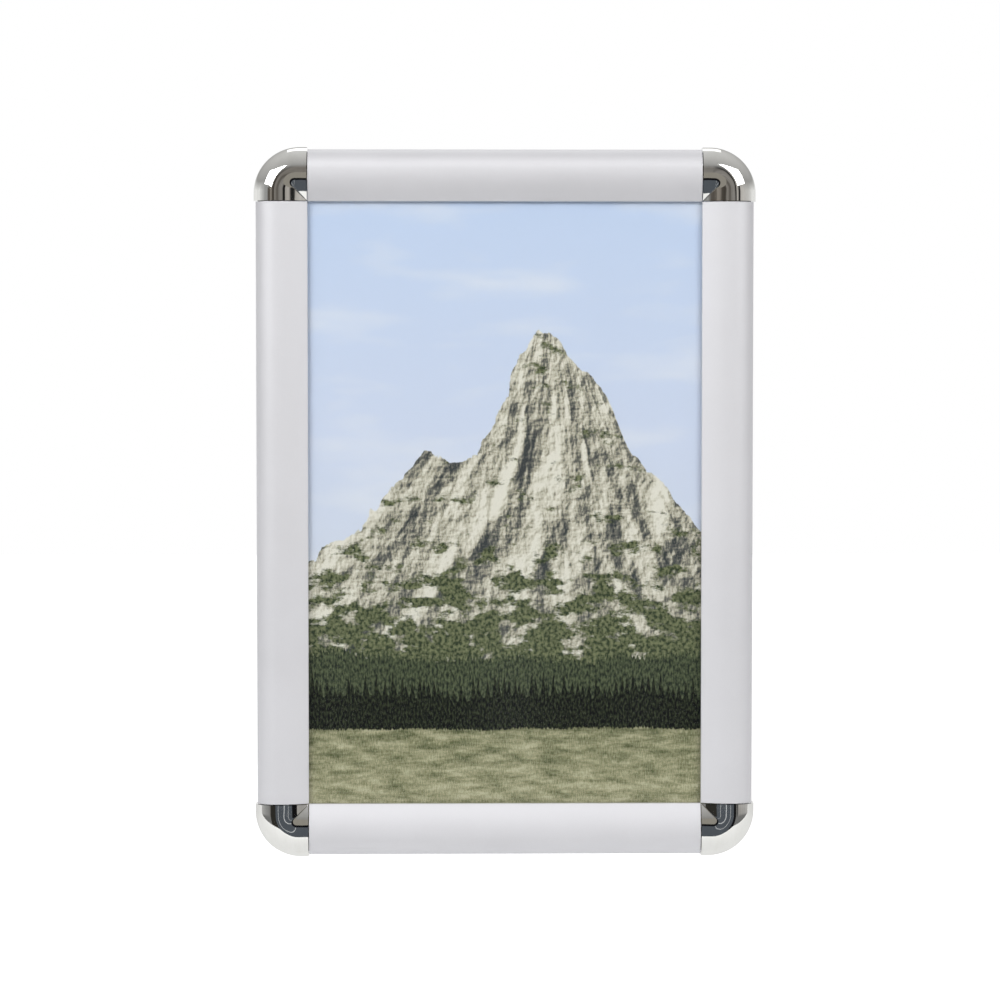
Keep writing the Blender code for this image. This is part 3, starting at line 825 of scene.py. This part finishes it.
def front_rail_outline():
    """Section of a front rail: skin, inner lip, spring rib, and the bead on its neck."""
    skirt = pivot_depth + pivot_inset * math.tan(math.radians(180 - SKIRT_ANGLE))
    neck_root = pivot_depth + (pivot_inset - SKIN_WALL) * math.tan(math.radians(180 - NECK_ROOT_ANGLE))
    front = arch(0, 0, rail_width)
    back = arch(-SKIN_WALL, -SKIN_WALL, rail_width - LIP_WALL)[::-1]
    rib_roots = [arch_depth(inset, -SKIN_WALL, -SKIN_WALL) for inset in SPRING_RIB]
    rib = [(SPRING_RIB[1], rib_roots[1]), (SPRING_RIB[1], SPRING_RIB_END),
           (SPRING_RIB[0], SPRING_RIB_END), (SPRING_RIB[0], rib_roots[0])]
    lip = [(rail_width, LIP_END_DEPTH), (rail_width - LIP_WALL, LIP_END_DEPTH)]
    inner_back = [point for point in back if point[0] > SPRING_RIB[1]]
    outer_back = [point for point in back if point[0] < SPRING_RIB[0]]
    bead = arc((pivot_inset, pivot_depth), BEAD_RADIUS, NECK_ANGLES[0], NECK_ANGLES[1] - 360)
    neck = [(SKIN_WALL, neck_root), *bead, (0, skirt)]
    return eased(front + lip + inner_back + rib + outer_back + neck, FRONT_RAIL_EASE)


satin_aluminium = aluminium("satin_anodised_aluminium", ink(220, 220, 223), ink(225, 225, 228),
                            (0.62, 0.70), line_depth=0.000006, grain_depth=0.000012)
for side in side_places:
    rail = grown(extruded_rail, section_face(front_rail_outline()), {
        "Length": longest("snap_rail_" + side),
        "Hole Count": 0,
        "Material": satin_aluminium,
    })
    turn_rail(rail, side)
    piece = show("front_rail_" + side, rail)
    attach(piece, side + "_front_rail")
    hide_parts("snap_rail_" + side)


# Corner caps: rounded covers moulded in ABS and chrome plated, each held from behind by one screw.
# The two arms meet in a mitre crease that runs to the frame's inner corner.
CAP_WALL = 0.0015
CAP_STRAIGHT = 0.0037
CAP_MITRE_LENGTH = 0.0060
CREASE_RADIUS = 0.0005
CAP_TURN_STEPS = 48
BOSS_RADIUS = 0.0028
BOSS_HOLE_RADIUS = 0.00175
BOSS_DEPTHS = (0.0048, 0.0118)
BOSS_HOLE_DEPTHS = (0.0040, 0.0095)
BOSS_SIDES = 40
cap_low, cap_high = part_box("corner_cap_bottom_left")
cap_proud = -half_width - cap_low.x
cap_rise = -cap_low.y - rail_depth
cap_end = cap_high.x + half_width
cap_radius = rail_width + cap_proud - CAP_STRAIGHT
mitre_inset = rail_width - CAP_MITRE_LENGTH
screw_inset = sum(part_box("cap_screw_bottom_left"), Vector()).x / 2 + half_width


def corner_radius(inset):
    """Radius of a cap's round corner at an inset. It shrinks to the crease's own where the mitre starts."""
    shrinking = cap_radius * (mitre_inset - inset) / (mitre_inset + cap_proud)
    return max(shrinking, min(CREASE_RADIUS, cap_end - inset))


def cap_shell():
    """A cap's wall section carried round the corner, from the end of one arm to the other's."""
    front = arch(cap_proud, cap_rise, cap_end)
    back = arch(cap_proud - CAP_WALL, cap_rise - CAP_WALL, cap_end - LIP_WALL)[::-1]
    lip = [(cap_end, LIP_END_DEPTH), (cap_end - LIP_WALL, LIP_END_DEPTH)]
    rim = [(CAP_WALL - cap_proud, 0), (-cap_proud, 0)]
    section = front + lip + back + rim
    shape = bmesh.new()
    columns = []
    for step in range(-1, CAP_TURN_STEPS + 2):
        turn = math.pi / 2 * min(max(step, 0), CAP_TURN_STEPS) / CAP_TURN_STEPS
        column = []
        for inset, depth in section:
            radius = corner_radius(inset)
            x = cap_end if step < 0 else inset + radius - radius * math.sin(turn)
            z = cap_end if step > CAP_TURN_STEPS else inset + radius - radius * math.cos(turn)
            column.append(shape.verts.new((x, -depth, z)))
        columns.append(column)
    for column, after in zip(columns, columns[1:]):
        for index in range(len(section)):
            following = (index + 1) % len(section)
            shape.faces.new((column[index], after[index], after[following], column[following]))
    shape.faces.new(columns[0])
    shape.faces.new(columns[-1][::-1])
    bmesh.ops.remove_doubles(shape, verts=shape.verts, dist=SEAL_DISTANCE)
    bmesh.ops.recalc_face_normals(shape, faces=shape.faces)
    return as_mesh(shape, "cap_shell")


def round_bar(inset, radius, depths, sides):
    """A bar off the wall on the diagonal of a corner, at one inset from both sides."""
    shape = bmesh.new()
    middle = Matrix.Translation((inset, -sum(depths) / 2, inset)) @ Matrix.Rotation(math.pi / 2, 4, "X")
    bmesh.ops.create_cone(shape, cap_ends=True, segments=sides, radius1=radius, radius2=radius,
                          depth=depths[1] - depths[0], matrix=middle)
    return as_mesh(shape, "bar")


def chrome_plate(name):
    """Bright chrome with the moulding's slow waves and faint wipe marks."""
    WAVE_SIZE = 0.009
    WAVE_DEPTH = 0.00005
    WIPE_SIZE = 0.004
    material, tree, shader = start_material(name, 1.0, 0.03)
    place = object_place(tree)
    wipes = noise(mapped(place, scale=(1, 1, 0.4)), WIPE_SIZE, detail=8, roughness=0.7)
    tone = ramp(wipes, (0.3, ink(226, 226, 222)), (0.7, ink(234, 234, 231)))
    wire(shader, {"Base Color": tone, "Roughness": spread(wipes, 0.0, 0.075)})
    add_bump(shader, noise(place, WAVE_SIZE, detail=1), WAVE_DEPTH)
    return material


boss = round_bar(screw_inset, BOSS_RADIUS, BOSS_DEPTHS, BOSS_SIDES)
boss_hole = round_bar(screw_inset, BOSS_HOLE_RADIUS, BOSS_HOLE_DEPTHS, BOSS_SIDES)
cap = fused(fused(cap_shell(), [boss]), [boss_hole], "DIFFERENCE")
paint(cap, chrome_plate("chrome_plate"))
for corner, place in corner_places.items():
    mesh = cap.copy()
    piece = show("chrome_cap_" + corner, mesh)
    mesh.transform(place)
    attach(piece, "base")
    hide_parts("corner_cap_" + corner)


# Cap screws: zinc-plated steel screws with pan heads, cross recesses and rolled threads, driven
# from behind through each joiner into its cap.
SCREW_HEAD_RADIUS = 0.0022
SCREW_HEAD_DEPTHS = (0.0004, 0.0020)
SCREW_HEAD_ROUND = 0.0008
SHANK_RADIUS = 0.0012
SHANK_TIP = 0.0008
SCREW_TIP_DEPTH = 0.0092
THREAD_START_DEPTH = 0.0050
THREAD_PITCH = 0.0011
THREAD_RADIUS = 0.00026
DRIVE_LENGTH = 0.0026
DRIVE_WIDTH = 0.0006
DRIVE_DEPTH = 0.0009
SCREW_SIDES = 48
HEAD_ROUND_STEP = 15
THREAD_STEPS = 24


def turned_screw():
    """A screw's head and shank, turned about the Y axis, with its head to the wall."""
    back, front = SCREW_HEAD_DEPTHS
    profile = [(0, back)]
    for degrees in range(0, 91, HEAD_ROUND_STEP):
        turn = math.radians(degrees)
        profile.append((SCREW_HEAD_RADIUS - SCREW_HEAD_ROUND + SCREW_HEAD_ROUND * math.sin(turn),
                        back + SCREW_HEAD_ROUND - SCREW_HEAD_ROUND * math.cos(turn)))
    profile += [(SCREW_HEAD_RADIUS, front), (SHANK_RADIUS, front)]
    profile += [(SHANK_RADIUS, SCREW_TIP_DEPTH - SHANK_TIP), (SHANK_RADIUS / 2, SCREW_TIP_DEPTH)]
    profile += [(0, SCREW_TIP_DEPTH)]
    shape = bmesh.new()
    points = [shape.verts.new((radius, -depth, 0)) for radius, depth in profile]
    edges = [shape.edges.new(pair) for pair in zip(points, points[1:])]
    bmesh.ops.spin(shape, geom=points + edges, cent=(0, 0, 0), axis=(0, 1, 0), angle=2 * math.pi,
                   steps=SCREW_SIDES, use_merge=True)
    bmesh.ops.remove_doubles(shape, verts=shape.verts, dist=SEAL_DISTANCE)
    bmesh.ops.recalc_face_normals(shape, faces=shape.faces)
    return as_mesh(shape, "screw")


def screw_tree():
    """Tree that cuts a screw's cross recess, winds its thread and puts a copy at each place."""
    lengths = ["Thread Pitch", "Thread Turns", "Thread Radius", "Shank Radius", "Thread Start",
               "Drive Length", "Drive Width", "Drive Depth", "Head Back"]
    tree, given = start_tree("cap_screws", Object=["Screw"], Float=lengths)
    blank = add_node(tree, "GeometryNodeObjectInfo", {"Object": given["Screw"]}).outputs["Geometry"]
    slots = []
    for across, down in (("Drive Length", "Drive Width"), ("Drive Width", "Drive Length")):
        size = as_vector(tree, X=given[across], Y=times(given["Drive Depth"], 2.0), Z=given[down])
        slots.append(add_node(tree, "GeometryNodeMeshCube", {"Size": size}))
    at_head = as_vector(tree, Y=times(given["Head Back"], -1.0))
    recess = moved(together(*slots), Translation=at_head)
    cut = {"Mesh 1": blank, "Mesh 2": recess, "Self Intersection": True}
    driven = add_node(tree, "GeometryNodeMeshBoolean", cut, operation="DIFFERENCE", solver="EXACT")
    rise = times(given["Thread Turns"], given["Thread Pitch"])
    helix = {"Resolution": THREAD_STEPS, "Rotations": given["Thread Turns"], "Height": rise,
             "Start Radius": given["Shank Radius"], "End Radius": given["Shank Radius"]}
    path = add_node(tree, "GeometryNodeCurveSpiral", helix)
    square = {"Resolution": 4, "Radius": given["Thread Radius"]}
    ridge = add_node(tree, "GeometryNodeCurvePrimitiveCircle", square)
    wound = {"Curve": path, "Profile Curve": ridge, "Fill Caps": True}
    thread = add_node(tree, "GeometryNodeCurveToMesh", wound)
    start = as_vector(tree, Y=times(given["Thread Start"], -1.0))
    along_shank = moved(thread, Rotation=(math.pi / 2, 0, 0), Translation=start)
    return end_tree(tree, given, copied(together(driven, along_shank), given["Geometry"]))


def zinc_plate(name):
    """Zinc-plated steel with a crystalline mottle and a trace of yellow passivation."""
    MOTTLE_SIZE = 0.0006
    MOTTLE_DEPTH = 0.00002
    material, tree, shader = start_material(name, 1.0, 0.35)
    mottle = noise(object_place(tree), MOTTLE_SIZE, detail=5)
    tone = ramp(mottle, (0.35, ink(176, 177, 174)), (0.6, ink(206, 206, 202)), (0.8, ink(204, 198, 180)))
    wire(shader, {"Base Color": tone, "Roughness": spread(mottle, 0.22, 0.5)})
    add_bump(shader, mottle, MOTTLE_DEPTH)
    return material


places = bpy.data.meshes.new("screw_places")
inwards = Vector((screw_inset, 0, screw_inset))
places.from_pydata([place @ inwards for place in corner_places.values()], [], [])
blank = put("screw_blank", turned_screw())
screws = show("cross_head_screws", grown(screw_tree(), places, {
    "Screw": blank,
    "Thread Pitch": THREAD_PITCH,
    "Thread Turns": (SCREW_TIP_DEPTH - SHANK_TIP - THREAD_START_DEPTH) / THREAD_PITCH,
    "Thread Radius": THREAD_RADIUS,
    "Shank Radius": SHANK_RADIUS,
    "Thread Start": THREAD_START_DEPTH,
    "Drive Length": DRIVE_LENGTH,
    "Drive Width": DRIVE_WIDTH,
    "Drive Depth": DRIVE_DEPTH,
    "Head Back": SCREW_HEAD_DEPTHS[0],
    "Material": zinc_plate("zinc_plate"),
}))
bpy.data.objects.remove(blank)
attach(screws, "base")
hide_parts(*("cap_screw_" + corner for corner in corner_places))


# Table: a plain white sheet on a table below the hanging frame, which shows as the chrome's pale
# lower half. Its rounded front end comes forwards to the hanging cloths.
TABLE_HEIGHT = -0.27
TABLE_BACK = 4.0
TABLE_HALF_WIDTH = 4.0
TABLE_TONGUE = 0.78
TABLE_SHOULDER = 0.26
TONGUE_WIDTH = 0.19
TABLE_GLOW = 0.66
TABLE_SHEEN = 0.185
TABLE_TONE = 0.8
TABLE_SEGMENTS = 96


def flat_mesh(name, points):
    mesh = bpy.data.meshes.new(name)
    mesh.from_pydata(points, [], [range(len(points))])
    return mesh


def ray_kinds(tree):
    """Whether a ray comes from the camera, and whether it comes off metal or through glass."""
    ray = add_node(tree, "ShaderNodeLightPath").outputs
    return ray["Is Camera Ray"], maths("MAXIMUM", ray["Is Glossy Ray"], ray["Is Transmission Ray"])


def table_top(name):
    """A white that glows a little to the camera, to match the backdrop, and less to the metal."""
    material, tree, shader = start_material(name, 0.0, 0.9)
    seen, reflected = ray_kinds(tree)
    glow = plus(times(seen, TABLE_GLOW), times(reflected, TABLE_SHEEN))
    wire(shader, {"Base Color": (TABLE_TONE, TABLE_TONE, TABLE_TONE, 1), "Emission Color": (1, 1, 1, 1),
                  "Emission Strength": glow})
    return material


def table_front(x):
    """How far the sheet comes forwards at a place across it: a rounded tongue between two shoulders."""
    return -TABLE_SHOULDER - (TABLE_TONGUE - TABLE_SHOULDER) / (1 + (abs(x) / TONGUE_WIDTH) ** 4)


across = [TABLE_HALF_WIDTH * (2 * step / TABLE_SEGMENTS - 1) ** 3 for step in range(TABLE_SEGMENTS + 1)]
table_corners = [(x, table_front(x), TABLE_HEIGHT) for x in across]
table_corners += [(x, TABLE_BACK, TABLE_HEIGHT) for x in (TABLE_HALF_WIDTH, -TABLE_HALF_WIDTH)]
table = show("table", flat_mesh("table", table_corners))
table.data.materials.append(table_top("white_table"))


# Room: the dim studio behind the camera, which only the polished and satin metal reflects. It has a
# grey ceiling, dark brown curtains ahead, paler walls to the sides and a dark floor.
ROOM_RADIUS = 2.8
ROOM_SUBDIVISIONS = 5


def start_glow(name):
    """A material that only glows, and its emission shader."""
    material, tree, shader = start_material(name, 0.0, 1.0)
    tree.nodes.remove(shader)
    glow = add_node(tree, "ShaderNodeEmission", {"Strength": 1.0})
    wire(tree.nodes["Material Output"], {"Surface": glow})
    return material, glow


def room_walls(name):
    """Emission that changes with the direction seen from the middle of the room."""
    PLEAT_WIDTH = 0.02
    CEILING_START = 0.1
    CEILING_BLEND = 8.0
    FLOOR_START = -0.1
    FLOOR_BLEND = 20.0
    material, glow = start_glow(name)
    tree = glow.id_data
    direction = add_node(tree, "ShaderNodeVectorMath", {0: object_place(tree)}, operation="NORMALIZE")
    right, back, up = add_node(tree, "ShaderNodeSeparateXYZ", {0: direction}).outputs
    half_turns = maths("DIVIDE", maths("ARCTAN2", right, times(back, -1.0)), math.pi)
    bearing = plus(times(half_turns, 0.5), 0.5)
    elevation = maths("DIVIDE", maths("ARCSINE", up), math.pi / 2)

    def grey(level, warmth=0.0):
        return (level * (1 + warmth), level, level * (1 - warmth), 1)

    wall_levels = [(-170, 0.95), (-100, 0.95), (-75, 0.9), (-60, 0.62), (-45, 0.38), (-34, 0.33),
                   (-31, 0.1, 0.12), (-23, 0.1, 0.15), (-21, 0.24, 0.12), (-17, 0.22, 0.12),
                   (-14, 0.07, 0.15), (-8, 0.05, 0.15), (-6, 0.24, 0.08), (-1, 0.1, 0.12), (2, 0.25, 0.06),
                   (7, 0.24, 0.06), (8.5, 0.01), (11.5, 0.01), (12.5, 0.46, 0.06), (19, 0.4, 0.06),
                   (20, 0.02), (26, 0.02), (28, 0.52, 0.05), (60, 0.6, 0.02), (95, 0.9), (170, 0.95)]
    wall = ramp(bearing, *((0.5 + degrees / 360, grey(*tone)) for degrees, *tone in wall_levels))
    pleats = noise(mapped(direction, scale=(1, 1, 0.03)), PLEAT_WIDTH, detail=3)
    curtained = scaled(wall, spread(pleats, 0.5, 1.5))
    ceiling = ramp(elevation, (0.14, grey(0.30, 0.01)), (0.32, grey(0.45, 0.01)), (0.6, grey(0.6, 0.01)),
                   (1.0, grey(0.74)))
    floor = ramp(plus(elevation, 1.0), (0.0, grey(0.2, -0.05)), (0.7, grey(0.16, -0.04)),
                 (1.0, grey(0.24, 0.04)))
    above = maths("MULTIPLY", maths("SUBTRACT", elevation, CEILING_START), CEILING_BLEND, clamp=True)
    below = maths("MULTIPLY", maths("SUBTRACT", FLOOR_START, elevation), FLOOR_BLEND, clamp=True)
    wire(glow, {"Color": laid_over(laid_over(curtained, ceiling, above), floor, below)})
    return material


def reflected_only(thing):
    for ray in ("camera", "diffuse", "transmission", "volume_scatter", "shadow"):
        setattr(thing, "visible_" + ray, False)


shape = bmesh.new()
bmesh.ops.create_icosphere(shape, subdivisions=ROOM_SUBDIVISIONS, radius=ROOM_RADIUS)
room = show("studio_room", as_mesh(shape, "studio_room"))
room.data.materials.append(room_walls("studio_room"))
reflected_only(room)


# Studio drapes: two cloths over a stand at the table's front end, a dark grey-blue one below a beige
# one, with a dark bar between them. The lower one has pale piping, and dark cards of painted shade
# stand to its sides. Only the metal reflects them.
DRAPE_FORWARD = 0.80
drape_bands = {
    "lower_drape": ((-0.22, 0.28), (-0.9, -0.06), (0.092, 0.104, 0.122)),
    "drape_bar": ((-0.17, 0.22), (-0.06, -0.012), (0.006, 0.006, 0.008)),
    "upper_drape": ((-0.17, 0.22), (-0.012, 0.12), (0.31, 0.29, 0.255)),
}
PIPING_TONE = (0.75, 0.77, 0.8)
drape_strips = {
    # The outer two strips are painted shade: dark cards put where the reflected studio is only in shade.
    "left_fold": ((-0.50, -0.20), (0.032, 0.030, 0.026)),
    "left_piping": ((-0.115, -0.109), PIPING_TONE),
    "middle_piping": ((0.012, 0.026), PIPING_TONE),
    "right_piping": ((0.115, 0.121), PIPING_TONE),
    "right_fold": ((0.21, 0.34), (0.008, 0.008, 0.009)),
}
STRIP_PROUD = 0.005
STRIP_DROP = 0.006


def hung_card(name, left, right, low, high, forward, tone):
    """A flat upright card that only metal reflects, glowing in one tone."""
    corners = [(x, -forward, z) for x, z in ((left, low), (right, low), (right, high), (left, high))]
    card = show(name, flat_mesh(name, corners))
    material, glow = start_glow(name)
    wire(glow, {"Color": (*tone, 1)})
    card.data.materials.append(material)
    reflected_only(card)


for name, ((left, right), (low, high), tone) in drape_bands.items():
    hung_card(name, left, right, low, high, DRAPE_FORWARD, tone)
low, high = drape_bands["lower_drape"][1]
for name, ((left, right), tone) in drape_strips.items():
    hung_card(name, left, right, low, high - STRIP_DROP, DRAPE_FORWARD - STRIP_PROUD, tone)


# Lamps: two soft boxes, left and right of the camera, and a wide panel above and behind the frame.
# The world gives the rest of the light, and shows white behind the frame.
WORLD_LIGHT = 0.53
lamps = {
    "left_soft_box": ((-0.730, -1.080, 0.562), (-0.12, 0, 0.16), (0.78, 0.42), -14, 8.2),
    "right_soft_box": ((0.730, -1.075, 0.585), (0.12, 0, 0.16), (0.80, 0.46), 14, 5.6),
    "overhead_panel": ((0, 0.75, 1.70), (0, 0.75, 0), (1.2, 1.1), 0, 1.1),
}
for name, (place, aim, size, roll, radiance) in lamps.items():
    lamp = bpy.data.lights.new(name, "AREA")
    lamp.shape = "RECTANGLE"
    lamp.size, lamp.size_y = size
    lamp.energy = radiance * math.pi * size[0] * size[1]
    fitting = put(name, lamp)
    aimed = (Vector(aim) - Vector(place)).to_track_quat("-Z", "Y").to_matrix().to_4x4()
    rolled = Matrix.Rotation(math.radians(roll), 4, "Z")
    fitting.matrix_world = Matrix.Translation(place) @ aimed @ rolled
    fitting.visible_camera = False

world = bpy.data.worlds.new("studio_light")
world.use_nodes = True
strength = spread(maths("MAXIMUM", *ray_kinds(world.node_tree)), WORLD_LIGHT, 1.0)
wire(world.node_tree.nodes["Background"], {"Color": (1, 1, 1, 1), "Strength": strength})
bpy.context.scene.world = world


# Camera: a long lens straight in front of the frame, a little above and to the left of its middle,
# as the vertical rails' slight lean in the photograph says.
CAMERA_DISTANCE = 1.5
CAMERA_AZIMUTH = -0.945
CAMERA_ELEVATION = 2.487
AIM = Vector((-0.0023, 0, 0.0014))
FOCAL_PIXELS = 3090
IMAGE_PIXELS = 1000
SENSOR_WIDTH = 36
lens = bpy.data.cameras.new("camera")
lens.sensor_width = SENSOR_WIDTH
lens.lens = SENSOR_WIDTH * FOCAL_PIXELS / IMAGE_PIXELS
camera = put("camera", lens)
camera.rotation_euler = (math.radians(90 - CAMERA_ELEVATION), 0, math.radians(CAMERA_AZIMUTH))
camera.location = AIM + camera.rotation_euler.to_matrix() @ Vector((0, 0, CAMERA_DISTANCE))
bpy.context.scene.camera = camera
bpy.context.scene.view_settings.view_transform = "Standard"
